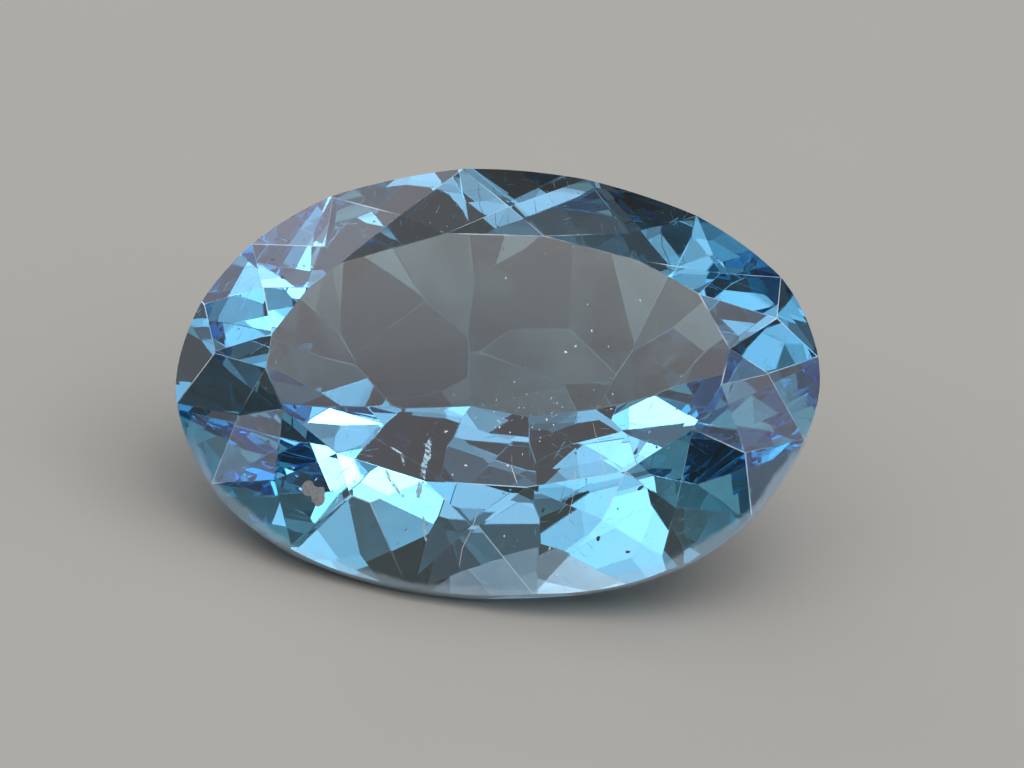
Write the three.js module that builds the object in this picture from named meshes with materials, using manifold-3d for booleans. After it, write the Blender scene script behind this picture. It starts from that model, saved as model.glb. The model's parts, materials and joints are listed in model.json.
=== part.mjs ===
// An oval topaz, cut as a gem: a sixteen-fold crown with a table, a thin ground girdle and an eight-fold pavilion.
// It lies as a loose stone does, tipped over on one of the pavilion's facets with its table turned towards -Y.
// Millimetres, +Z up, origin on the surface that it lies on, under the middle of the stone's box.
import * as THREE from "three";
import { mergeVertices } from "three/addons/utils/BufferGeometryUtils.js";
import Module from "manifold-3d";

// The stone's own frame has the table up, the girdle's middle at height 0 and the long axis along X.
// Facets are counted anticlockwise from the right-hand end, and angles are those of the mean ellipse.
const HALF_LENGTH = 5; // of the mean ellipse
const HALF_WIDTH = 3.5;
// The ground girdle's true outline, anticlockwise from the right-hand end.
const OUTLINE = [
  [5.0, 0.1], [4.7, 1.25], [4.05, 2.05], [3.1, 2.7], [1.6, 3.25], [0.0, 3.49], [-1.6, 3.33], [-3.05, 2.81],
  [-4.15, 1.92], [-4.8, 0.9], [-5.0, -0.1], [-4.72, -1.2], [-4.0, -2.2], [-2.75, -2.98], [-1.0, -3.44],
  [0.9, -3.48], [2.35, -3.2], [3.45, -2.65], [4.3, -1.75], [4.82, -0.8],
];
const OUTLINE_STEPS = 128; // flats round the ground girdle
const GIRDLE_THICKNESS = 0.3; // between the tips of the crown's and the pavilion's main facets

const CROWN_FOLD = 16; // main facets round the crown
const CROWN_TURN = 6.2; // degrees, the first main facet's tip
const CROWN_HEIGHT = 1.02; // girdle's upper edge to the table
const CROWN_SLOPE = 36; // degrees, the crown's main facets
// Hand cutting leaves some main facets' tips turned (degrees) and their table corners slid along the table's edge.
const TIP_TURN = [0, 0, 0, 0, 0, 2, -1, -5, 0, 0, 0, 0, 0, 0, 0, 0];
const TABLE_SLIDE = [0, 0.3, 0.27, 0.39, 0.36, 0.41, 0, 0.2, 0, 0, 0, 0, 0, 0, 0, 0];
// Share of the crown's height that each star facet takes, more of it round the ends.
const STAR_DROP = [0.6, 0.4, 0.3, 0.35, 0.35, 0.35, 0.42, 0.55, 0.38, 0.5, 0.38, 0.35, 0.35, 0.48, 0.5, 0.4];

const PAVILION_FOLD = 8; // main facets round the pavilion, each under every second crown main
const PAVILION_TURN = CROWN_TURN + 180 / PAVILION_FOLD; // degrees, the first main facet
const SIDE_SLOPE = 38.8; // degrees, the four mains along the sides
const END_SLOPE = 38; // degrees, the four mains round the ends
const GIRDLE_SHARE = 0.6; // share of the pavilion's depth that its girdle facets take
const KEEL_SHARE = 0.8; // share of the pavilion's depth at which the keel facets start
const KEEL_EASE = 4; // degrees, the keel facets' slope below their mains'
const RESTING_MAIN = 5; // the main facet that the stone lies on, counted from 0

const radians = THREE.MathUtils.degToRad;
const wasm = await Module();
wasm.setup();

const outline = new THREE.CatmullRomCurve3(
  OUTLINE.map(([x, y]) => new THREE.Vector3(x, y, 0)), true, "centripetal",
);
const outlinePoints = outline.getSpacedPoints(OUTLINE_STEPS).slice(0, OUTLINE_STEPS);

// Where a line from the middle, at an angle of the mean ellipse, crosses the outline, at a height.
function rimPoint(t, height) {
  const out = new THREE.Vector3(HALF_LENGTH * Math.cos(t), HALF_WIDTH * Math.sin(t), 0).normalize();
  const across = new THREE.Vector3(-out.y, out.x, 0);
  for (const [k, a] of outlinePoints.entries()) {
    const b = outlinePoints[(k + 1) % OUTLINE_STEPS];
    const before = a.dot(across);
    const after = b.dot(across);
    if (before <= 0 && after > 0 && a.dot(out) > 0) {
      return a.clone().lerp(b, before / (before - after)).setZ(height);
    }
  }
  throw new Error("the outline doesn't go round the middle");
}

// The mean ellipse's normal at an angle, tipped up (side 1) or down (side -1) to face along a slope.
function facetNormal(t, slope, side) {
  const out = new THREE.Vector3(Math.cos(t) / HALF_LENGTH, Math.sin(t) / HALF_WIDTH, 0).normalize();
  return out.multiplyScalar(Math.sin(radians(slope))).setZ(side * Math.cos(radians(slope)));
}

function facet(t, slope, side, point) {
  return new THREE.Plane().setFromNormalAndCoplanarPoint(facetNormal(t, slope, side), point);
}

function level(height) {
  return new THREE.Plane(new THREE.Vector3(0, 0, 1), -height);
}

// The plane through three points, facing away from the stone's middle.
function through(a, b, c) {
  const plane = new THREE.Plane().setFromCoplanarPoints(a, b, c);
  return plane.distanceToPoint(new THREE.Vector3()) > 0 ? plane.negate() : plane;
}

// The point where three planes meet.
function meet(a, b, c) {
  const bc = b.normal.clone().cross(c.normal);
  return bc
    .clone()
    .multiplyScalar(-a.constant)
    .addScaledVector(c.normal.clone().cross(a.normal), -b.constant)
    .addScaledVector(a.normal.clone().cross(b.normal), -c.constant)
    .divideScalar(a.normal.dot(bc));
}

// Table, mains, and between each two mains a star facet above and a girdle facet below.
function crownFacets() {
  const rim = GIRDLE_THICKNESS / 2;
  const top = rim + CROWN_HEIGHT;
  const run = CROWN_HEIGHT / Math.tan(radians(CROWN_SLOPE));
  const angles = TIP_TURN.map((turn, k) => radians(CROWN_TURN + turn + (k * 360) / CROWN_FOLD));
  const tips = angles.map((t) => rimPoint(t, rim));
  const mains = tips.map((tip, k) => facet(angles[k], CROWN_SLOPE, 1, tip));
  const corners = tips.map((tip, k) => {
    const out = facetNormal(angles[k], 90, 1);
    const along = new THREE.Vector3(-out.y, out.x, 0);
    return tip.clone().addScaledVector(out, -run).addScaledVector(along, TABLE_SLIDE[k]).setZ(top);
  });
  const facets = [level(top), ...mains];
  for (let k = 0; k < CROWN_FOLD; k++) {
    const next = (k + 1) % CROWN_FOLD;
    const apex = meet(mains[k], mains[next], level(top - STAR_DROP[k] * CROWN_HEIGHT));
    facets.push(through(apex, corners[k], corners[next]), through(apex, tips[k], tips[next]));
  }
  return facets;
}

// The angle and slope of a pavilion main, which is a side one where it faces more across than along.
function pavilionMain(k) {
  const t = radians(PAVILION_TURN + (k * 360) / PAVILION_FOLD);
  const slope = Math.abs(Math.sin(t)) > Math.SQRT1_2 ? SIDE_SLOPE : END_SLOPE;
  return { t, slope };
}

// Mains, two girdle facets between each two mains, and an easier keel facet below each main.
function pavilionFacets() {
  const rim = -GIRDLE_THICKNESS / 2;
  const depth = HALF_WIDTH * Math.tan(radians(SIDE_SLOPE));
  const halfStep = Math.PI / PAVILION_FOLD;
  const turns = [...Array(PAVILION_FOLD).keys()].map(pavilionMain);
  const mains = turns.map(({ t, slope }) => facet(t, slope, -1, rimPoint(t, rim)));
  const meetings = (share) =>
    mains.map((main, k) => meet(main, mains[(k + 1) % PAVILION_FOLD], level(rim - share * depth)));
  const apexes = meetings(GIRDLE_SHARE);
  const keelCorners = meetings(KEEL_SHARE);
  const facets = [...mains];
  for (const [k, { t, slope }] of turns.entries()) {
    const [start, middle, end] = [0, 1, 2].map((n) => rimPoint(t + n * halfStep, rim));
    facets.push(through(apexes[k], start, middle), through(apexes[k], middle, end));
    const ends = [keelCorners[k], keelCorners.at(k - 1)];
    const [left, right] = ends.map((corner) => facet(t, slope - KEEL_EASE, -1, corner));
    facets.push(left.constant < right.constant ? left : right);
  }
  return facets;
}

// The ground oval that the facets are cut on.
function preform() {
  const depth = 2 * HALF_LENGTH;
  const geometry = new THREE.ExtrudeGeometry(new THREE.Shape(outlinePoints), { depth, bevelEnabled: false });
  return geometry.translate(0, 0, -depth / 2);
}

function solidOf(geometry) {
  geometry.deleteAttribute("normal");
  geometry.deleteAttribute("uv");
  const merged = mergeVertices(geometry);
  return new wasm.Manifold(
    new wasm.Mesh({
      numProp: 3,
      vertProperties: merged.attributes.position.array,
      triVerts: new Uint32Array(merged.index.array),
    }),
  );
}

function geometryOf(solid) {
  const mesh = solid.getMesh();
  return new THREE.BufferGeometry()
    .setAttribute("position", new THREE.BufferAttribute(mesh.vertProperties, 3))
    .setIndex(new THREE.BufferAttribute(mesh.triVerts, 1));
}

function cutStone() {
  let stone = solidOf(preform());
  for (const plane of [...crownFacets(), ...pavilionFacets()]) {
    stone = stone.trimByPlane(plane.normal.clone().negate().toArray(), plane.constant);
  }
  return geometryOf(stone);
}

const topaz = new THREE.Mesh(
  cutStone(),
  new THREE.MeshStandardMaterial({ color: 0x6fb7e0, roughness: 0.02, metalness: 0 }),
);
topaz.name = "topaz";

// Laid down: the resting facet faces straight down, and the long axis keeps its bearing along X.
const { t, slope } = pavilionMain(RESTING_MAIN);
const up = facetNormal(t, slope, -1).negate();
const right = new THREE.Vector3(1, 0, 0).addScaledVector(up, -up.x).normalize();
const laid = new THREE.Matrix4().makeBasis(right, up.clone().cross(right), up).transpose();
topaz.quaternion.setFromRotationMatrix(laid);
const box = new THREE.Box3().setFromObject(topaz, true);
topaz.position.set(-(box.min.x + box.max.x) / 2, -(box.min.y + box.max.y) / 2, -box.min.z);

const group = new THREE.Group();
group.add(topaz);
export default group;
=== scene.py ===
"""An oval blue topaz, cut and polished, that lies loose on a pale floor."""
import json
import logging
import math
import random
from dataclasses import dataclass, field
from enum import Enum
from typing import Any, Iterator, Sequence

import bmesh
import bpy
import numpy as np
from mathutils import Matrix, Vector, noise


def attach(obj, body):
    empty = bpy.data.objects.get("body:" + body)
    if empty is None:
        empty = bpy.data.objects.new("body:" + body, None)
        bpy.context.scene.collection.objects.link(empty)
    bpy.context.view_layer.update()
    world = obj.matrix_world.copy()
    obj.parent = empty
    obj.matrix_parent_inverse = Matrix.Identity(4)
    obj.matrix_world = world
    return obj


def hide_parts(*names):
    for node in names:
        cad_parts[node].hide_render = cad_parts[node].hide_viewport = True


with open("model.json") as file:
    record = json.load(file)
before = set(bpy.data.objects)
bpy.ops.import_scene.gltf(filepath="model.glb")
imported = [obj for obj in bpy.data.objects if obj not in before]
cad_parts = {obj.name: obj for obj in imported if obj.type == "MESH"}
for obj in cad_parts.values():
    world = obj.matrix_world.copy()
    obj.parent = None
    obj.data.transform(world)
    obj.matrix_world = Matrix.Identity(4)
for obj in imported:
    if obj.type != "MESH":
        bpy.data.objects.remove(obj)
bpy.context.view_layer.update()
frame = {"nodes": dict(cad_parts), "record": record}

MM = 0.001
NODE = "topaz"
BODY = "root"
IMAGE_WIDTH = 1024
GIRDLE_MIDDLE = Vector((-0.002, 0.009, 2.364)) * MM  # in the row frame
SQUARE = ((-1, -1), (1, -1), (1, 1), (-1, 1))  # the corners of a square, anticlockwise
Triple = tuple[float, float, float]
Span = tuple[float, float]
log = logging.getLogger("topaz")


# ---------------------------------------------------------------- shader maths


class Value:
    """A node's output, on which arithmetic adds further nodes."""

    def __init__(self, tree: "Tree", socket: bpy.types.NodeSocket) -> None:
        """Wraps a socket of a tree.

        Args:
            tree: the tree that the socket is in.
            socket: the output socket.
        """
        self.tree = tree
        self.socket = socket

    def __add__(self, other: "Value | float") -> "Value":
        """The sum."""
        return self.tree.math("ADD", self, other)

    __radd__ = __add__

    def __sub__(self, other: "Value | float") -> "Value":
        """The difference."""
        return self.tree.math("SUBTRACT", self, other)

    def __rsub__(self, other: float) -> "Value":
        """The difference from a number."""
        return self.tree.math("SUBTRACT", other, self)

    def __mul__(self, other: "Value | float") -> "Value":
        """The product."""
        return self.tree.math("MULTIPLY", self, other)

    __rmul__ = __mul__

    def above(self, low: float, high: float) -> "Value":
        """A smooth step from 0 at low to 1 at high."""
        return self.tree.node(
            "ShaderNodeMapRange",
            {"interpolation_type": "SMOOTHSTEP"},
            {"Value": self, "From Min": low, "From Max": high},
            "Result",
        )

    def between(self, low: float, high: float) -> "Value":
        """A value that is low where this one is 0, and high where it is 1."""
        return low + (high - low) * self


class Tree:
    """A node tree that nodes are added to."""

    def __init__(self, tree: bpy.types.NodeTree) -> None:
        """Wraps a tree.

        Args:
            tree: the node tree of a material or a light.
        """
        self.nodes = tree.nodes
        self.links = tree.links

    def put(self, socket: bpy.types.NodeSocket, value: Any) -> None:
        """Links a value to a socket or sets the socket to it.

        Args:
            socket: the input socket.
            value: a Value, a number or a tuple.
        """
        if isinstance(value, Value):
            self.links.new(value.socket, socket)
        elif isinstance(value, tuple) and socket.type == "RGBA" and len(value) == 3:
            socket.default_value = (*value, 1.0)
        else:
            socket.default_value = value

    def node(self, kind: str, settings: dict[str, Any], inputs: dict[Any, Any], output: Any = 0) -> Value:
        """Makes a node.

        Args:
            kind: the node's type.
            settings: its settings, which are set first.
            inputs: the values or links of its sockets, by name or number.
            output: the name or number of the output that is wanted.

        Returns:
            The output, wrapped.
        """
        made = self.nodes.new(kind)
        for name, setting in settings.items():
            setattr(made, name, setting)
        for name, value in inputs.items():
            self.put(made.inputs[name], value)
        return Value(self, made.outputs[output])

    def math(self, operation: str, a: Value | float, b: Value | float) -> Value:
        """A Math node on two values.

        Args:
            operation: the node's operation.
            a: the first value.
            b: the second value.

        Returns:
            The result.
        """
        return self.node("ShaderNodeMath", {"operation": operation}, {0: a, 1: b})


@dataclass(frozen=True)
class Pattern:
    """A pattern of noise."""

    scale: float  # per metre
    detail: float = 2.0  # finer octaves
    stretch: Triple | None = None  # factors along the axes
    turn: float = 0.0  # degrees about Z, before it is stretched


class Net(Tree):
    """The node tree of one material."""

    def __init__(self, name: str) -> None:
        """Makes the material with its Principled node.

        Args:
            name: the material's name.
        """
        self.material = bpy.data.materials.new(name)
        self.material.use_nodes = True
        super().__init__(self.material.node_tree)
        self.surface = next(n for n in self.nodes if n.type == "BSDF_PRINCIPLED")
        self.output = next(n for n in self.nodes if n.type == "OUTPUT_MATERIAL")

    def place(self) -> Value:
        """The point on the object, in metres."""
        return self.node("ShaderNodeTexCoord", {}, {}, "Object")

    def noise(self, place: Value, pattern: Pattern) -> Value:
        """Noise from 0 to 1.

        Args:
            place: the point.
            pattern: the noise's pattern.

        Returns:
            The noise.
        """
        if pattern.stretch is not None:
            turn = {"Vector": place, "Angle": math.radians(pattern.turn)}
            turned = self.node("ShaderNodeVectorRotate", {}, turn)
            factors = {0: turned, 1: pattern.stretch}
            place = self.node("ShaderNodeVectorMath", {"operation": "MULTIPLY"}, factors)
        inputs = {"Vector": place, "Scale": pattern.scale, "Detail": pattern.detail}
        return self.node("ShaderNodeTexNoise", {}, inputs, "Fac")

    def spots(self, place: Value, scale: float, core: float, radius: float) -> Value:
        """Round spots on a random lattice, 1 at their middles.

        Args:
            place: the point.
            scale: the lattice's cells per metre.
            core: the radius, in cells, within which a spot is 1.
            radius: the radius, in cells, at which it ends.

        Returns:
            The spots.
        """
        far = self.node("ShaderNodeTexVoronoi", {}, {"Vector": place, "Scale": scale}, "Distance")
        return 1 - far.above(core, radius)

    def along(self, place: Value, direction: Vector, start: Vector) -> Value:
        """How far a point lies along a direction from another point.

        Args:
            place: the point.
            direction: the direction, of length 1.
            start: the point from which it is measured.

        Returns:
            The distance, in metres.
        """
        inputs = {0: place, 1: tuple(direction)}
        dot = self.node("ShaderNodeVectorMath", {"operation": "DOT_PRODUCT"}, inputs, "Value")
        return dot - direction.dot(start)

    def marked(self, name: str) -> Value:
        """A number that the mesh holds for each face."""
        return self.node("ShaderNodeAttribute", {"attribute_name": name}, {}, "Fac")

    def blend(self, share: Value, a: Triple, b: Triple) -> Value:
        """A colour between two others, by the Mix node's colour sockets 6, 7 and 2.

        Args:
            share: 0 for the first, 1 for the second.
            a: the first colour.
            b: the second colour.

        Returns:
            The mixed colour.
        """
        return self.node("ShaderNodeMix", {"data_type": "RGBA"}, {0: share, 6: a, 7: b}, 2)

    def bump(self, height: Value, depth: float, under: Value | None = None) -> Value:
        """A bumped normal.

        Args:
            height: the relief, 0 to 1.
            depth: how deep a relief of 1 is, in metres.
            under: a normal that this one goes on top of.

        Returns:
            The normal.
        """
        inputs = {"Height": height, "Distance": depth}
        if under is not None:
            inputs["Normal"] = under
        return self.node("ShaderNodeBump", {}, inputs)

    def finish(self, **sockets: Any) -> bpy.types.Material:
        """Sets the Principled node's sockets.

        Args:
            sockets: their names with _ for a space, and their values or links.

        Returns:
            The material.
        """
        for name, value in sockets.items():
            self.put(self.surface.inputs[name.replace("_", " ")], value)
        return self.material

    def cover(self, share: Value, **sockets: Any) -> None:
        """Lays a second Principled surface over the first.

        Args:
            share: how much of it covers the first.
            sockets: its sockets' names with _ for a space, and their values or links.
        """
        inputs = {name.replace("_", " "): value for name, value in sockets.items()}
        skin = self.node("ShaderNodeBsdfPrincipled", {}, inputs)
        first = Value(self, self.surface.outputs[0])
        both = self.node("ShaderNodeMixShader", {}, {0: share, 1: first, 2: skin})
        self.put(self.output.inputs["Surface"], both)


# -------------------------------------------------------------------- finishes


class Treatment(Enum):
    """How a face of the stone was left."""

    POLISHED = "polished"
    WORN = "worn"
    GROUND = "ground"


@dataclass(frozen=True)
class TopazFinish:
    """Clear blue crystal with polished facets, worn facet edges, a ground girdle and painted shade on the
    lower facets.
    """

    refraction: float = 1.62
    absorption: Triple = (172.0, 46.0, 11.0)  # per metre
    density: float = 180.0  # per metre, above the strongest absorption
    clean: Triple = (1.0, 1.0, 1.0)

    painted_shade: Triple = (0.28, 0.2, 0.18)  # painted shade: the darkest brown-grey tint of the lower facets, where it is fullest
    mottle: Pattern = Pattern(700.0, 3.0, (1.0, 1.6, 1.0), 35.0)
    painted_shade_mottled: Span = (0.3, 0.7)  # of the mottle, where the painted shade is lightest and where fullest
    painted_shade_spread: Span = (0.8, 1.2)  # of the facet's painted shade, there

    patches: Pattern = Pattern(900.0, 3.0)  # in which there are scratches, pits or rubbed edges
    streaks: Pattern = Pattern(1500.0, 1.0, (30.0, 1.0, 1.0), 24.0)
    streak: Span = (0.74, 0.8)  # of the streaks, where a scratch starts and where it is full
    other_streaks: Pattern = Pattern(1300.0, 1.0, (1.0, 34.0, 1.0), -8.0)
    other_streak: Span = (0.75, 0.8)
    scratch_patch: Span = (0.5, 0.62)  # of the patches
    scratch_roughness: float = 0.16
    scratch_depth: float = 1.5e-6  # metres, also the pits'
    pits: Triple = (2600.0, 0.042, 0.07)  # cells per metre, and a pit's core and radius in cells
    pit_patch: Span = (0.52, 0.56)
    pit_roughness: float = 0.3
    wave: Pattern = Pattern(800.0, 1.0)  # of the polished facets
    wave_depth: float = 1.0e-6  # metres

    skin: Triple = (0.7, 0.88, 1.0)  # of crystal that is ground or rubbed white
    shade: Triple = (0.42, 0.62, 0.74)
    skin_roughness: float = 0.6
    grit: Pattern = Pattern(42000.0, 3.0)
    grit_depth: float = 5.0e-6  # metres
    grit_shares: Span = (0.6, 1.4)  # of the skin's cover, between the grit and on it
    ground_roughness: Span = (0.55, 0.8)  # between the grit and on it
    ground_cover: float = 0.6
    worn_roughness: float = 0.22
    worn_patch: Span = (0.42, 0.62)
    worn_cover: float = 0.6

    margin_cover: float = 0.3  # of the frosting on the crown's lowest strip
    margin: Span = (0.15, 0.22)  # millimetres over the girdle's middle, where it fades
    margin_start: float = 0.05  # millimetres over the girdle's middle, where it has set in
    margin_side: Span = (-0.6, -1.6)  # millimetres across the stone, where it starts and is full
    margin_edge: Pattern = Pattern(5000.0, 3.0)
    margin_sway: float = 0.08  # millimetres that its edge wanders over

    def frosted_margin(self, net: Net, place: Value, axes: "StoneAxes") -> Value:
        """The share of frosting on the crown's lowest strip on the near side.

        Args:
            net: the material's net.
            place: the point on the stone.
            axes: the stone's axes.

        Returns:
            The share.
        """
        height = net.along(place, axes.up, axes.middle)
        across = net.along(place, axes.across, axes.middle)
        sway = self.margin_sway * MM
        ragged = height + sway * net.noise(place, self.margin_edge) - sway / 2
        low, high = (edge * MM for edge in self.margin)
        start, full = (edge * MM for edge in self.margin_side)
        over_girdle = height.above(0.0, self.margin_start * MM)
        return (1 - ragged.above(low, high)) * (1 - across.above(full, start)) * over_girdle

    def material(self, axes: "StoneAxes") -> bpy.types.Material:
        """The material, which reads the mesh's marks for worn faces, ground faces and painted shade.

        Args:
            axes: the stone's axes.

        Returns:
            The material.
        """
        net = Net("topaz_crystal")
        place = net.place()
        worn, ground = net.marked("worn"), net.marked("ground")
        mottle = net.noise(place, self.mottle).above(*self.painted_shade_mottled)
        # painted shade on the lower facets, mottled across each facet
        painted_shade_share = net.marked("painted_shade_share") * mottle.between(*self.painted_shade_spread)

        patches = net.noise(place, self.patches)
        streaks = net.noise(place, self.streaks).above(*self.streak)
        other_streaks = net.noise(place, self.other_streaks).above(*self.other_streak)
        scratched = (streaks + other_streaks) * patches.above(*self.scratch_patch)
        pits = net.spots(place, *self.pits) * patches.above(*self.pit_patch)
        grit = net.noise(place, self.grit)
        roughness = worn * (self.worn_roughness * patches) + ground * grit.between(*self.ground_roughness)
        roughness = roughness + self.scratch_roughness * scratched + self.pit_roughness * pits
        wave = net.bump(net.noise(place, self.wave), self.wave_depth)
        cut = net.bump(scratched + pits, self.scratch_depth, wave)
        normal = net.bump(grit * ground, self.grit_depth, cut)

        inside = tuple(1 - a / self.density for a in self.absorption)
        absorbed = net.node("ShaderNodeVolumeAbsorption", {}, {"Color": inside, "Density": self.density})
        net.put(net.output.inputs["Volume"], absorbed)
        rubbed = worn * patches.above(*self.worn_patch)
        margin = self.frosted_margin(net, place, axes)
        frosted = self.ground_cover * ground + self.margin_cover * (1 - ground) * margin
        net.cover(
            frosted * grit.between(*self.grit_shares) + self.worn_cover * rubbed,
            Base_Color=net.blend(grit, self.shade, self.skin),
            Roughness=self.skin_roughness,
            Normal=normal,
        )
        return net.finish(
            # painted shade: the lower facets' colour is darkened towards brown-grey
            Base_Color=net.blend(painted_shade_share, self.clean, self.painted_shade),
            Roughness=roughness,
            IOR=self.refraction,
            Transmission_Weight=1.0,
            Normal=normal,
        )


@dataclass(frozen=True)
class FilmFinish:
    """The broken film of a healed crack, where it reaches the surface; its pale cyan is partly the film's
    own whiteness and partly a painted reflection.
    """

    # pale cyan: partly the film's own whiteness, partly a painted reflection of the silvery light that the
    # crack's air gap gives back
    colour: Triple = (0.62, 0.88, 1.0)
    shade: Triple = (0.22, 0.5, 0.64)
    mottle: Pattern = Pattern(9000.0)
    fingers: Pattern = Pattern(9000.0, 4.0, (1.0, 3.0, 1.0), 30.0)
    fingered: Span = (0.38, 0.56)  # of the fingers, where the film starts and where it is full
    most: float = 0.85  # alpha of its thickest places
    roughness: Span = (0.18, 0.48)
    relief: float = 4.0e-6  # metres

    def material(self) -> bpy.types.Material:
        """The material: fingers of film with clear crystal between them."""
        net = Net("healed_crack")
        place = net.place()
        fingers = net.noise(place, self.fingers)
        return net.finish(
            Base_Color=net.blend(net.noise(place, self.mottle), self.shade, self.colour),
            Roughness=fingers.between(*self.roughness),
            Alpha=self.most * fingers.above(*self.fingered),
            Normal=net.bump(fingers, self.relief),
        )


@dataclass(frozen=True)
class DustFinish:
    """Dry dull matter: lint, polishing dust or the broken crystal of a chip."""

    name: str
    colour: Triple = (0.86, 0.9, 0.92)
    shade: Triple = (0.5, 0.55, 0.58)
    mottle: Pattern = Pattern(26000.0, 3.0)
    roughness: Span = (0.6, 0.9)
    fuzz: Pattern = Pattern(90000.0)
    relief: float = 1.5e-6  # metres

    def material(self) -> bpy.types.Material:
        """The material, mottled from grain to grain."""
        net = Net(self.name)
        place = net.place()
        mottle = net.noise(place, self.mottle)
        return net.finish(
            Base_Color=net.blend(mottle, self.shade, self.colour),
            Roughness=mottle.between(*self.roughness),
            Normal=net.bump(net.noise(place, self.fuzz), self.relief),
        )


@dataclass(frozen=True)
class DirtFinish:
    """Dark dirt and polishing compound that fills small pits."""

    colour: Triple = (0.1, 0.12, 0.14)
    shade: Triple = (0.015, 0.02, 0.025)
    blotch: Pattern = Pattern(40000.0, 3.0)
    blotched: Span = (0.35, 0.7)  # of the blotch, where it is darkest and where palest
    roughness: Span = (0.45, 0.85)
    crumb: Pattern = Pattern(110000.0)
    relief: float = 2.0e-6  # metres

    def material(self) -> bpy.types.Material:
        """The material, blotched dark and less dark."""
        net = Net("pit_dirt")
        place = net.place()
        blotch = net.noise(place, self.blotch)
        return net.finish(
            Base_Color=net.blend(blotch.above(*self.blotched), self.shade, self.colour),
            Roughness=blotch.between(*self.roughness),
            Normal=net.bump(net.noise(place, self.crumb), self.relief),
        )


@dataclass(frozen=True)
class FloorFinish:
    """A plain pale matt floor."""

    colour: Triple = (0.285, 0.295, 0.272)
    lighter: float = 1.04  # times the colour, in its palest places
    tone: Pattern = Pattern(260.0)
    roughness: float = 0.9
    specular: float = 0.1

    def material(self) -> bpy.types.Material:
        """The material, nearly even all over."""
        net = Net("pale_floor")
        pale = tuple(self.lighter * c for c in self.colour)
        return net.finish(
            Base_Color=net.blend(net.noise(net.place(), self.tone), self.colour, pale),
            Roughness=self.roughness,
            Specular_IOR_Level=self.specular,
        )


# ------------------------------------------------------------- the stone's axes


@dataclass(frozen=True)
class StoneAxes:
    """The cut stone's own directions in the row frame, and its girdle's middle."""

    middle: Vector
    long: Vector
    across: Vector
    up: Vector

    @classmethod
    def of_record(cls, record: dict[str, Any]) -> "StoneAxes":
        """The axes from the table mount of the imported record.

        Args:
            record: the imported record.

        Returns:
            The axes.
        """
        table = next(m for m in record["mounts"] if m["name"] == "table")
        up = Vector(table["axis"]).normalized()
        along = Vector((0.0, 1.0, 0.0)).cross(up).normalized()
        return cls(GIRDLE_MIDDLE, along, up.cross(along), up)

    def point(self, x: float, y: float, z: float) -> Vector:
        """A point given in millimetres along the stone's axes."""
        return self.middle + (self.long * x + self.across * y + self.up * z) * MM


# ------------------------------------------------------------------- the stone


@dataclass
class Face:
    """A flat face of a convex solid, its corners in order, seen from outside."""

    corners: np.ndarray
    normal: np.ndarray
    treatment: Treatment

    def area(self) -> float:
        """The face's area."""
        first = self.corners[0]
        fan = [np.cross(b - first, c - first) for b, c in zip(self.corners[1:], self.corners[2:])]
        return float(np.linalg.norm(sum(fan)) / 2)


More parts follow.
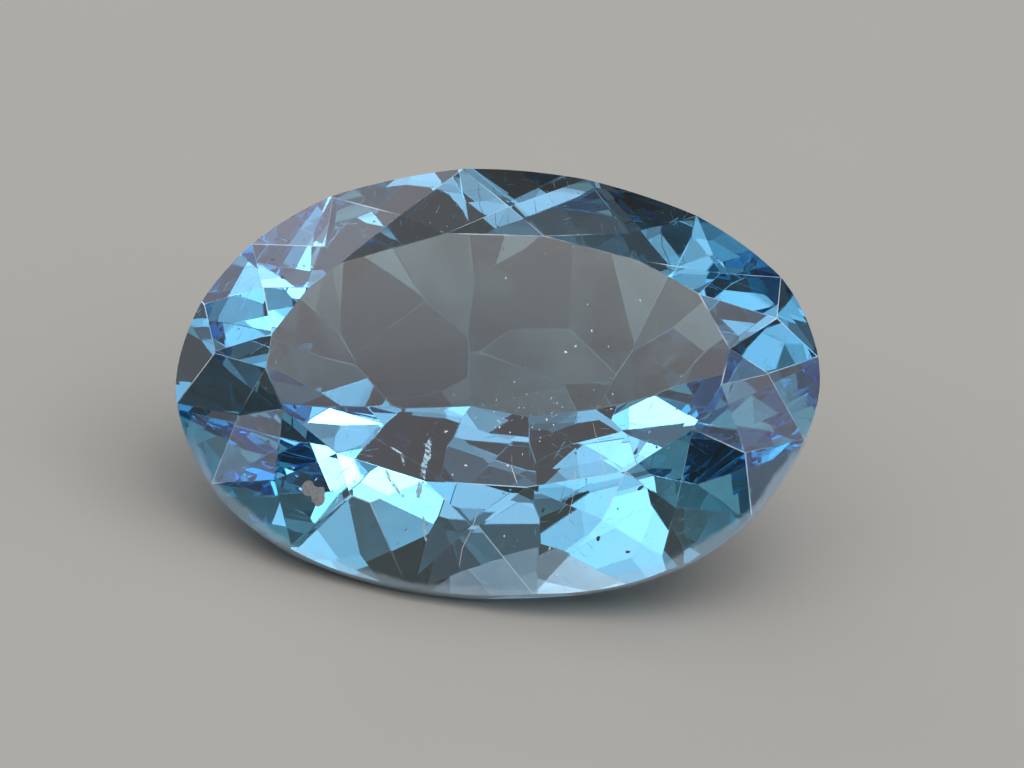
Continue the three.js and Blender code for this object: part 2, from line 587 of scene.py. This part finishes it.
@dataclass
class ConvexSolid:
    """A convex solid in millimetres, which plane cuts shape."""

    half: float = 12.0  # of the block that the cuts start from
    near: float = 1e-7  # millimetres, what counts as on a plane
    weld: float = 2e-6  # millimetres, points of a rim this near are one
    decimals: int = 4  # of a millimetre, to which the ends of two faces' edges are matched
    steep: float = 0.7  # how far a normal leans along X before Y is crossed with it instead
    faces: list[Face] = field(default_factory=list)

    def __post_init__(self) -> None:
        """Makes the starting block."""
        for axis in range(3):
            for side in (-1.0, 1.0):
                normal = np.roll([side, 0.0, 0.0], axis)
                u, v = np.roll([0.0, side, 0.0], axis), np.roll([0.0, 0.0, 1.0], axis)
                square = [normal + a * u + b * v for a, b in SQUARE]
                self.faces.append(Face(np.array(square) * self.half, normal, Treatment.POLISHED))

    def cut(self, normal: np.ndarray, height: float, treatment: Treatment) -> None:
        """Takes off what lies above a plane.

        Args:
            normal: the plane's unit normal, out of the solid.
            height: the plane's distance from the origin.
            treatment: how the new face is left.
        """
        kept, rim, touched = [], [], False
        for face in self.faces:
            above = face.corners @ normal - height
            if above.max() <= self.near:
                kept.append(face)
                rim.extend(face.corners[np.abs(above) <= self.near])
                continue
            touched = True
            if above.min() >= -self.near:
                continue
            corners = []
            for k, a in enumerate(above):
                after = (k + 1) % len(above)
                start, end, b = face.corners[k], face.corners[after], above[after]
                if a <= self.near:
                    corners.append(start)
                    if a >= -self.near:
                        rim.append(start)
                if (a < -self.near and b > self.near) or (a > self.near and b < -self.near):
                    crossing = start + (end - start) * (a / (a - b))
                    corners.append(crossing)
                    rim.append(crossing)
            if len(corners) > 2:
                kept.append(Face(np.array(corners), face.normal, face.treatment))
        cap = self.ring(rim, normal) if touched else None
        if cap is not None:
            kept.append(Face(cap, normal, treatment))
        self.faces = kept

    def ring(self, rim: list[np.ndarray], normal: np.ndarray) -> np.ndarray | None:
        """The corners of a cut's new face, in order.

        Args:
            rim: the points where the cut crosses the old faces, with repeats.
            normal: the cut's normal.

        Returns:
            The corners, or None where the cut misses the solid.
        """
        if len(rim) < 3:
            return None
        points = np.array(rim)
        _, first = np.unique(np.round(points / self.weld), axis=0, return_index=True)
        points = points[first]
        if len(points) < 3:
            return None
        middle = points.mean(0)
        u = np.cross(normal, [1.0, 0.0, 0.0] if abs(normal[0]) < self.steep else [0.0, 1.0, 0.0])
        u /= np.linalg.norm(u)
        v = np.cross(normal, u)
        return points[np.argsort(np.arctan2((points - middle) @ v, (points - middle) @ u))]

    def edges(self) -> Iterator[tuple[Face, Face, np.ndarray, np.ndarray]]:
        """Each edge once, as its two faces and its two ends."""
        seen: dict[tuple, Face] = {}
        for face in self.faces:
            for k, start in enumerate(face.corners):
                end = face.corners[(k + 1) % len(face.corners)]
                key = tuple(sorted(tuple(np.round(corner, self.decimals)) for corner in (start, end)))
                if key in seen:
                    yield seen[key], face, start, end
                else:
                    seen[key] = face


@dataclass
class Facet:
    """A facet of the CAD solid, gathered from its triangles, in millimetres."""

    area: np.ndarray  # the sum of its triangles' areas, each along its normal
    height: float  # of its first triangle's plane
    corners: list[np.ndarray]

    def unit(self) -> np.ndarray:
        """Its normal, of length 1."""
        return self.area / np.linalg.norm(self.area)


@dataclass
class Stone:
    """The cut topaz: the CAD solid with flat wedges lapped off it and its facet edges worn."""

    axes: StoneAxes
    finish: TopazFinish = field(default_factory=TopazFinish)
    same_facet: float = 0.02  # degrees, between triangles of one facet
    same_height: float = 2e-3  # millimetres, between their planes
    least_area: float = 1e-5  # square millimetres of a real facet
    girdle_slope: float = 3.0  # degrees off the girdle's plane that its flats may face
    least_edge: float = 0.06  # millimetres, the shortest edge that wears
    least_turn: float = 1.0  # degrees, the bluntest edge that wears
    wear: Span = (0.004, 0.022)  # millimetres, the worn flats' widths
    heavy: float = 0.18  # share of the edges that are worn most
    painted_shade: Span = (0.6, 1.35)  # painted shade: how strong it is on a lower facet, least and most, drawn at random for each facet
    painted_shade_depths: Span = (0.5, 1.1)  # millimetres under the girdle, where the painted shade is light and where full
    least_painted_shade: float = 0.25  # share of the painted shade's strength next to the girdle
    laps: int = 3  # wedges lapped off each larger lower facet
    lap_turn: Span = (0.5, 1.4)  # degrees
    lap_place: float = 0.5  # of a facet's mean radius, how far from its middle a wedge may start
    least_lap: float = 0.5  # square millimetres, the smallest facet that is lapped again
    weld: float = 3e-5  # millimetres, corners this near are one
    largest_slit: int = 4  # sides of a slit that the welding leaves and that is closed
    seed: int = 11

    def planes(self) -> list[tuple[np.ndarray, float, Treatment]]:
        """The planes of the CAD solid's facets in the row frame, in millimetres.

        Returns:
            Each plane's normal, height and treatment.
        """
        mesh = frame["nodes"][NODE].data
        points = np.array([v.co for v in mesh.vertices]) / MM
        found: list[Facet] = []
        for polygon in mesh.polygons:
            a, b, c = (points[i] for i in list(polygon.vertices)[:3])
            area = np.cross(b - a, c - a) / 2
            size = np.linalg.norm(area)
            if size < self.least_area:
                continue
            unit = area / size
            for facet in found:
                along = facet.unit()
                flush = abs(along @ a - facet.height) < self.same_height
                if flush and along @ unit > math.cos(math.radians(self.same_facet)):
                    facet.area = facet.area + area
                    facet.corners.extend((a, b, c))
                    break
            else:
                found.append(Facet(area, float(unit @ a), [a, b, c]))
        up = np.array(self.axes.up)
        planes = []
        for facet in found:
            unit = facet.unit()
            slope = abs(math.degrees(math.asin(np.clip(unit @ up, -1, 1))))
            treatment = Treatment.GROUND if slope < self.girdle_slope else Treatment.POLISHED
            planes.append((unit, float((np.array(facet.corners) @ unit).mean()), treatment))
        return planes

    def lap_again(self, solid: ConvexSolid) -> None:
        """Laps very flat wedges off the larger lower facets, as uneven hand polish leaves them.

        Args:
            solid: the sharp solid, which is changed.
        """
        draw = random.Random(self.seed)
        up = np.array(self.axes.up)
        cuts = []
        for face in solid.faces:
            middle = face.corners.mean(0)
            lower = face.treatment is Treatment.POLISHED and face.normal @ up <= 0
            if not lower or face.area() < self.least_lap:
                continue
            side = np.cross(face.normal, up)
            side /= np.linalg.norm(side)
            reach = np.linalg.norm(face.corners - middle, axis=1).mean()
            for _ in range(self.laps):
                turn = draw.uniform(0, math.tau)
                along = side * math.cos(turn) + np.cross(face.normal, side) * math.sin(turn)
                normal = face.normal + along * math.tan(math.radians(draw.uniform(*self.lap_turn)))
                normal /= np.linalg.norm(normal)
                start = middle + along * reach * draw.uniform(0.0, self.lap_place)
                cuts.append((normal, float(normal @ start)))
        for normal, height in cuts:
            solid.cut(normal, height, Treatment.POLISHED)

    def wear_edges(self, solid: ConvexSolid) -> None:
        """Wears the edges between polished facets to narrow flats.

        Args:
            solid: the sharp solid, which is changed.
        """
        draw = random.Random(self.seed)
        cuts = []
        for one, other, start, end in solid.edges():
            if Treatment.GROUND in (one.treatment, other.treatment):
                continue
            turn = math.acos(min(1.0, float(one.normal @ other.normal)))
            if np.linalg.norm(end - start) < self.least_edge or turn < math.radians(self.least_turn):
                continue
            light, most = self.wear
            width = most if draw.random() < self.heavy else light + (most - light) * draw.random() ** 2
            normal = one.normal + other.normal
            normal /= np.linalg.norm(normal)
            cuts.append((normal, float(normal @ start) - width / 2 * math.tan(turn / 2)))
        for normal, height in cuts:
            solid.cut(normal, height, Treatment.WORN)

    def mesh(self, solid: ConvexSolid) -> bpy.types.Mesh:
        """A mesh of a solid, with its faces' treatments and the painted shade on its lower facets as marks.

        Args:
            solid: the solid.

        Returns:
            The mesh, in metres.
        """
        draw = random.Random(self.seed)
        up = np.array(self.axes.up)
        middle = float(np.array(self.axes.middle) @ up) / MM
        shallow, deep = self.painted_shade_depths
        shape = bmesh.new()
        worn, ground, painted_shade_share = (shape.faces.layers.float.new(mark) for mark in ("worn", "ground", "painted_shade_share"))
        for face in solid.faces:
            corners = [shape.verts.new(p * MM) for p in face.corners]
            made = shape.faces.new(corners)
            made[worn] = float(face.treatment is Treatment.WORN)
            made[ground] = float(face.treatment is Treatment.GROUND)
            # painted shade: lower polished facets get a darker tint, fuller farther under the girdle and
            # random from facet to facet
            lower = face.treatment is Treatment.POLISHED and face.normal @ up < 0
            depth = middle - float(face.corners.mean(0) @ up)
            held = min(max((depth - shallow) / (deep - shallow), self.least_painted_shade), 1.0)
            made[painted_shade_share] = held * draw.uniform(*self.painted_shade) if lower else 0.0
            made.smooth = face.treatment is Treatment.GROUND
        bmesh.ops.remove_doubles(shape, verts=shape.verts, dist=self.weld * MM)
        bmesh.ops.dissolve_degenerate(shape, edges=shape.edges, dist=self.weld * MM)
        bmesh.ops.holes_fill(shape, edges=shape.edges, sides=self.largest_slit)
        shape.normal_update()
        open_edges = sum(not e.is_manifold for e in shape.edges)
        log.info("stone: %d faces, %d open edges", len(shape.faces), open_edges)
        mesh = bpy.data.meshes.new("cut_topaz")
        shape.to_mesh(mesh)
        shape.free()
        return mesh

    def build(self) -> bpy.types.Object:
        """Makes the stone, which stands for the CAD node.

        Returns:
            The object.
        """
        solid = ConvexSolid()
        for normal, height, treatment in self.planes():
            solid.cut(normal, height, treatment)
        self.lap_again(solid)
        self.wear_edges(solid)
        stone = bpy.data.objects.new("cut_topaz", self.mesh(solid))
        bpy.context.scene.collection.objects.link(stone)
        stone.data.materials.append(self.finish.material(self.axes))
        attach(stone, BODY)
        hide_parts(NODE)
        return stone


@dataclass
class Crown:
    """The stone's upper side, which finds the facet under a point and takes pieces."""

    axes: StoneAxes
    stone: bpy.types.Object
    above: float = 3.0  # millimetres over the girdle, where the search starts

    def under(self, x: float, y: float) -> tuple[Vector, Vector] | None:
        """The facet's point and normal under a point in the stone's millimetres, or None beside it."""
        hit, place, normal, _ = self.stone.ray_cast(self.axes.point(x, y, self.above), -self.axes.up)
        return (place, normal) if hit else None

    def dress(self, shape: bmesh.types.BMesh, name: str, material: bpy.types.Material) -> bpy.types.Object:
        """Makes a piece on the stone from a shape.

        Args:
            shape: the shape, which is used up.
            name: the piece's name.
            material: its material.

        Returns:
            The piece.
        """
        mesh = bpy.data.meshes.new(name)
        shape.to_mesh(mesh)
        shape.free()
        mesh.materials.append(material)
        piece = bpy.data.objects.new(name, mesh)
        bpy.context.scene.collection.objects.link(piece)
        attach(piece, BODY)
        return piece


# --------------------------------------------------- cracks, chip, lint and dust


@dataclass(frozen=True)
class Strand:
    """A thin flat strand that runs along the crown."""

    name: str
    spine: tuple[Span, ...]  # the stone's millimetres, seen from above
    width: float  # millimetres
    sink: float  # millimetres under the facets, or over them where negative

    def at(self, place: float) -> Vector:
        """The spine's point at a place counted in its points."""
        k = min(max(int(place), 0), len(self.spine) - 2)
        return Vector(self.spine[k]).lerp(Vector(self.spine[k + 1]), place - k)


@dataclass
class Strands:
    """Strands of one kind, such as healed cracks or lint, as thin closed pieces."""

    crown: Crown
    finish: FilmFinish | DustFinish
    strands: tuple[Strand, ...]
    thickness: float = 0.004  # millimetres
    steps: int = 9  # sections between two of a spine's points
    lead: float = 0.1  # of the way between two points, each way, from which its course is taken
    ragged: float = 0.75  # share of the width by which the sides wander
    sway: float = 2.6  # cells of that wandering between two of a spine's points
    side_gap: float = 7.7  # cells between the two sides
    least: float = 0.2  # share of the width at the ends

    def swayed(self, strand: Strand, place: float, side: int) -> float:
        """How wide a side of a strand is at a place, as a factor.

        Args:
            strand: the strand, whose name's length tells it from the others.
            place: the place along its spine.
            side: 1 or 2.

        Returns:
            The factor, about 1.
        """
        cell = Vector((place * self.sway, side * self.side_gap, len(strand.name)))
        return 1 + self.ragged * noise.noise(cell)

    def shape(self, strand: Strand) -> bmesh.types.BMesh:
        """The strand's shape: sections of four corners, drawn together at the ends.

        Args:
            strand: the strand.

        Returns:
            Its shape, in metres.
        """
        shape = bmesh.new()
        sections = []
        count = self.steps * (len(strand.spine) - 1)
        for k in range(count + 1):
            place, share = k / self.steps, k / count
            found = self.crown.under(*strand.at(place))
            if found is None:
                continue
            point, normal = found
            x, y = strand.at(place + self.lead) - strand.at(place - self.lead)
            forward = self.crown.axes.long * x + self.crown.axes.across * y
            across = normal.cross(forward).normalized()
            full = strand.width / 2 * (self.least + (1 - self.least) * math.sqrt(1 - (2 * share - 1) ** 4))
            left, right = (full * self.swayed(strand, place, side) for side in (1, 2))
            half = self.thickness / 2
            corners = (across * left, normal * half, across * -right, normal * -half)
            middle = point - normal * strand.sink * MM
            sections.append([shape.verts.new(middle + corner * MM) for corner in corners])
        for one, other in zip(sections, sections[1:]):
            for k in range(4):
                shape.faces.new((one[k], other[k], other[(k + 1) % 4], one[(k + 1) % 4]))
        shape.faces.new(sections[0])
        shape.faces.new(sections[-1][::-1])
        bmesh.ops.recalc_face_normals(shape, faces=shape.faces)
        return shape

    def build(self) -> list[bpy.types.Object]:
        """Makes the strands.

        Returns:
            The pieces.
        """
        material = self.finish.material()
        return [self.crown.dress(self.shape(strand), strand.name, material) for strand in self.strands]


NEAR_LEFT_CRACK = ((-1.05, -1.3), (-1.1, -1.6), (-1.15, -1.85), (-1.2, -2.1), (-1.25, -2.25))
HEALED_CRACKS = (
    Strand("near_left_crack", NEAR_LEFT_CRACK, 0.09, -0.001),
    Strand("near_left_tail", ((-1.15, -2.45), (-1.15, -2.6), (-1.1, -2.8)), 0.05, -0.001),
    Strand("near_left_flake", ((-1.75, -1.8), (-1.6, -2.05), (-1.4, -2.25)), 0.05, -0.001),
    Strand("left_curl", ((-1.65, -1.45), (-1.5, -1.55), (-1.45, -1.7), (-1.45, -1.75)), 0.035, -0.001),
)
CHIPS = (Strand("left_chip", ((-3.0, -1.9), (-2.85, -2.05), (-2.7, -2.2)), 0.26, 0.0),)
CHIP_FINISH = DustFinish("chip", colour=(0.42, 0.48, 0.52), shade=(0.08, 0.09, 0.1))
LINT = (
    Strand("near_lint", ((-0.3, -2.4), (-0.4, -2.65), (-0.55, -2.9), (-0.6, -3.15)), 0.009, -0.003),
    Strand("middle_lint", ((0.2, -1.75), (0.25, -1.9), (0.3, -2.05)), 0.009, -0.003),
    Strand("right_lint", ((1.2, -1.8), (1.15, -2.25), (1.0, -2.8)), 0.006, -0.003),
    Strand("far_right_lint", ((1.45, -1.0), (1.65, -1.85), (1.75, -2.5)), 0.005, -0.003),
)
LINT_RAGGED = 0.2  # share of the width


@dataclass
class Grains:
    """Small lumps on the crown, such as dust, or dirt in its pits."""

    crown: Crown
    name: str
    finish: DustFinish | DirtFinish
    placed: tuple[Triple, ...]  # x, y and radius in the stone's millimetres
    strewn: int = 0
    radius: Span = (0.004, 0.012)  # millimetres, of those that are strewn
    reach: Span = (4.4, 2.9)  # millimetres, the oval that they are strewn over
    streak: Span = (0.5, -0.75)  # millimetres, the middle of the dusty part
    streak_spread: Span = (0.9, 0.3)  # millimetres
    scattered: float = 0.45  # share of the strewn ones outside the streak
    longest: float = 2.2  # of a lump, times its radius
    flat: float = 0.5  # its height, times its radius
    rough: Span = (0.7, 1.25)  # how far out its corners are, least and most
    seed: int = 5

    def spots(self, draw: random.Random) -> Iterator[Triple]:
        """The places and radii of all grains, the placed ones first."""
        yield from self.placed
        small, large = self.radius
        for _ in range(self.strewn):
            if draw.random() < self.scattered:
                angle, reach = draw.uniform(0, math.tau), math.sqrt(draw.random())
                x, y = self.reach[0] * reach * math.cos(angle), self.reach[1] * reach * math.sin(angle)
            else:
                x, y = (draw.gauss(*normal) for normal in zip(self.streak, self.streak_spread))
            yield x, y, small + (large - small) * draw.random() ** 3

    def build(self) -> bpy.types.Object:
        """Makes the grains, each a lump that sits on the facet under it.

        Returns:
            The piece with all of them.
        """
        draw = random.Random(self.seed)
        shape = bmesh.new()
        for x, y, size in self.spots(draw):
            found = self.crown.under(x, y)
            if found is None:
                continue
            place, normal = found
            radius = size * MM
            spin = Matrix.Rotation(draw.uniform(0, math.tau), 4, "Z")
            turn = normal.to_track_quat("Z", "Y").to_matrix().to_4x4() @ spin
            halves = (radius * draw.uniform(1, self.longest), radius, radius * self.flat, 1)
            lump = Matrix.Translation(place) @ turn @ Matrix.Diagonal(halves)
            grain = bmesh.ops.create_icosphere(shape, subdivisions=1, radius=1.0)
            for vert in grain["verts"]:
                vert.co = lump @ (vert.co * draw.uniform(*self.rough))
        return self.crown.dress(shape, self.name, self.finish.material())


PALE_SPECKS = (
    (-0.8, -1.2, 0.016), (-0.5, -1.75, 0.02), (-0.8, -2.25, 0.018), (-0.65, -2.5, 0.018), (0.1, -2.75, 0.02),
    (0.8, -2.9, 0.016), (0.9, -3.25, 0.022), (-0.7, -1.9, 0.016), (2.2, 0.95, 0.014), (1.05, 0.1, 0.018),
    (1.2, 0.2, 0.016), (1.45, 0.45, 0.014), (0.75, -1.0, 0.014), (0.15, -1.75, 0.016),
)
FINE_DUST = 220  # grains
DIRTY_PITS = (
    (2.2, -2.05, 0.03), (2.0, -2.9, 0.028), (1.55, -2.75, 0.034), (3.15, -2.45, 0.024), (1.85, -2.35, 0.018),
    (0.7, -2.4, 0.022), (3.2, -1.25, 0.02), (1.2, -1.55, 0.02), (2.45, -1.45, 0.02), (-3.35, 1.45, 0.02),
    (-3.5, 1.85, 0.016),
)


# ------------------------------------------------------------------ the studio


@dataclass(frozen=True)
class SoftBox:
    """A soft area light, aimed at the stone."""

    name: str
    azimuth: float  # degrees from -Y towards +X
    elevation: float  # degrees
    width: float  # degrees, as seen from the stone
    height: float  # degrees, too
    radiance: float
    colour: Triple = (1.0, 1.0, 1.16)
    seen: bool = True  # by the stone's reflections and refractions


@dataclass
class Studio:
    """The floor, the lights and the camera."""

    axes: StoneAxes
    floor_size: float = 4.0  # metres
    floor_gap: float = 1.0e-5  # metres under the stone
    distance: float = 0.6  # metres, of the lights
    world: Triple = (0.12, 0.06, 0.046)
    tilt: float = 19.0  # degrees from the table's normal to the line of sight
    scale: float = 64.4  # pixels per millimetre
    aside: Span = (14.0, -1.0)  # pixels, the image's middle from the stone's
    camera_distance: float = 0.25  # metres
    sensor: float = 36.0  # millimetres
    clip: Span = (0.001, 10.0)  # metres, the nearest and farthest that the camera sees
    light_middle: Triple = (0.5, 0.5, 0.0)  # in a light's own coordinates, which run from 0 to 1
    soft_edge: Span = (0.12, 0.62)  # from its middle, where it starts to fade and where it has faded
    fade: Span = (1.5, 0.05)  # its strength there, times that of an even light
    crossings: int = 28  # most bounces of light in and on the stone
    film_crossings: int = 24  # most clear gaps in the cracks' film that light passes
    floor_bounces: int = 3
    gloss_blur: float = 0.2
    clamp: float = 8.0  # brightest that indirect light may be
    boxes: tuple[SoftBox, ...] = (
        SoftBox("top_strip", 70.0, 80.0, 50.0, 22.0, 1.0),
        SoftBox("right_high_box", 90.0, 49.0, 20.0, 14.0, 1.5),
        SoftBox("right_wide_box", 75.0, 19.0, 46.0, 38.0, 1.15),
        SoftBox("right_low_box", 88.0, 8.0, 32.0, 20.0, 3.8),
        SoftBox("back_high_box", 108.0, 53.0, 36.0, 22.0, 1.9),
        SoftBox("back_box", 196.0, 42.0, 44.0, 20.0, 0.4),
        SoftBox("back_left_box", 210.0, 28.0, 44.0, 22.0, 1.4),
        SoftBox("left_wide_box", 238.0, 12.0, 70.0, 68.0, 0.35),
        SoftBox("left_high_box", 262.0, 42.0, 30.0, 18.0, 0.8),
        SoftBox("front_high_box", 322.0, 67.0, 34.0, 18.0, 0.6, (1.2, 1.0, 1.15)),
        SoftBox("front_left_box", 288.0, 30.0, 30.0, 24.0, 1.1),
        SoftBox("front_box", 336.0, 44.0, 34.0, 26.0, 0.15),
        SoftBox("front_low_strip", 293.0, 2.0, 24.0, 16.0, 2.6),
        SoftBox("floor_light", 0.0, 88.0, 90.0, 90.0, 1.6, (1.0, 0.98, 0.95), False),
    )

    def lay_floor(self) -> bpy.types.Object:
        """Lays the floor.

        Returns:
            The floor.
        """
        half = self.floor_size / 2
        mesh = bpy.data.meshes.new("floor")
        mesh.from_pydata([(x * half, y * half, -self.floor_gap) for x, y in SQUARE], [], [(0, 1, 2, 3)])
        floor = bpy.data.objects.new("floor", mesh)
        bpy.context.scene.collection.objects.link(floor)
        mesh.materials.append(FloorFinish().material())
        return floor

    def hang(self, box: SoftBox) -> bpy.types.Object:
        """Hangs one light.

        Args:
            box: the light.

        Returns:
            Its object.
        """
        azimuth, elevation = math.radians(box.azimuth), math.radians(box.elevation)
        back = Vector((
            math.sin(azimuth) * math.cos(elevation),
            -math.cos(azimuth) * math.cos(elevation),
            math.sin(elevation),
        ))
        light = bpy.data.lights.new(box.name, "AREA")
        light.shape = "RECTANGLE"
        light.size = 2 * self.distance * math.tan(math.radians(box.width) / 2)
        light.size_y = 2 * self.distance * math.tan(math.radians(box.height) / 2)
        light.energy = box.radiance * light.size * light.size_y * math.pi
        light.color = box.colour
        if box.seen:
            self.soften(light)
        lamp = bpy.data.objects.new(box.name, light)
        bpy.context.scene.collection.objects.link(lamp)
        turn = back.to_track_quat("Z", "Y").to_matrix().to_4x4()
        lamp.matrix_world = Matrix.Translation(self.axes.middle + back * self.distance) @ turn
        lamp.visible_camera = False
        lamp.visible_glossy = lamp.visible_transmission = box.seen
        return lamp

    def soften(self, light: bpy.types.AreaLight) -> None:
        """Makes a light fade towards its edges, as a diffuser does.

        Args:
            light: the light.
        """
        light.use_nodes = True
        tree = Tree(light.node_tree)
        ends = {0: tree.node("ShaderNodeNewGeometry", {}, {}, "Parametric"), 1: self.light_middle}
        centred = tree.node("ShaderNodeVectorMath", {"operation": "SUBTRACT"}, ends)
        apart = tree.node("ShaderNodeVectorMath", {"operation": "LENGTH"}, {0: centred}, "Value")
        strength = apart.above(*self.soft_edge).between(*self.fade)
        tree.put(tree.nodes["Emission"].inputs["Strength"], strength)

    def set_camera(self) -> bpy.types.Object:
        """Sets the camera over the near side of the table.

        Returns:
            The camera.
        """
        tilt = math.radians(self.tilt)
        back = self.axes.up * math.cos(tilt) - self.axes.across * math.sin(tilt)
        right = self.axes.long
        up = back.cross(right)
        pixel = MM / self.scale
        target = self.axes.middle + right * (self.aside[0] * pixel) + up * (self.aside[1] * pixel)
        camera = bpy.data.cameras.new("camera")
        camera.sensor_width = self.sensor
        camera.lens = self.sensor * self.camera_distance / (IMAGE_WIDTH * pixel)
        camera.clip_start, camera.clip_end = self.clip
        holder = bpy.data.objects.new("camera", camera)
        bpy.context.scene.collection.objects.link(holder)
        turn = Matrix((right, up, back)).transposed().to_4x4()
        holder.matrix_world = Matrix.Translation(target + back * self.camera_distance) @ turn
        bpy.context.scene.camera = holder
        return holder

    def set_light_paths(self) -> None:
        """Lets light cross the stone often enough, and shows colours as they are."""
        scene = bpy.context.scene
        scene.cycles.max_bounces = self.crossings
        scene.cycles.glossy_bounces = self.crossings
        scene.cycles.transmission_bounces = self.crossings
        scene.cycles.diffuse_bounces = self.floor_bounces
        scene.cycles.transparent_max_bounces = self.film_crossings
        scene.cycles.caustics_reflective = True
        scene.cycles.caustics_refractive = True
        scene.cycles.blur_glossy = self.gloss_blur
        scene.cycles.sample_clamp_indirect = self.clamp
        scene.cycles.denoising_input_passes = "RGB"
        scene.view_settings.view_transform = "Standard"

    def build(self) -> None:
        """Makes the floor, the world, the lights and the camera."""
        self.lay_floor()
        world = bpy.data.worlds.new("studio")
        world.use_nodes = True
        world.node_tree.nodes["Background"].inputs["Color"].default_value = (*self.world, 1.0)
        bpy.context.scene.world = world
        for box in self.boxes:
            self.hang(box)
        self.set_camera()
        self.set_light_paths()


def main() -> None:
    """Builds the stone and what is on it, then the studio round it."""
    logging.basicConfig(level=logging.INFO, format="%(name)s: %(message)s")
    axes = StoneAxes.of_record(frame["record"])
    stone = Stone(axes).build()
    log.info("%s replaces %s", stone.name, NODE)
    bpy.context.view_layer.update()
    crown = Crown(axes, stone)
    pieces = Strands(crown, FilmFinish(), HEALED_CRACKS).build()
    pieces += Strands(crown, CHIP_FINISH, CHIPS).build()
    pieces += Strands(crown, DustFinish("lint"), LINT, ragged=LINT_RAGGED).build()
    pieces.append(Grains(crown, "dust", DustFinish("dust"), PALE_SPECKS, strewn=FINE_DUST).build())
    pieces.append(Grains(crown, "pit_dirt", DirtFinish(), DIRTY_PITS).build())
    for piece in pieces:
        log.info("%s, %d faces", piece.name, len(piece.data.polygons))
    Studio(axes).build()
    log.info("floor, lights and camera")


if __name__ == "__main__":
    main()
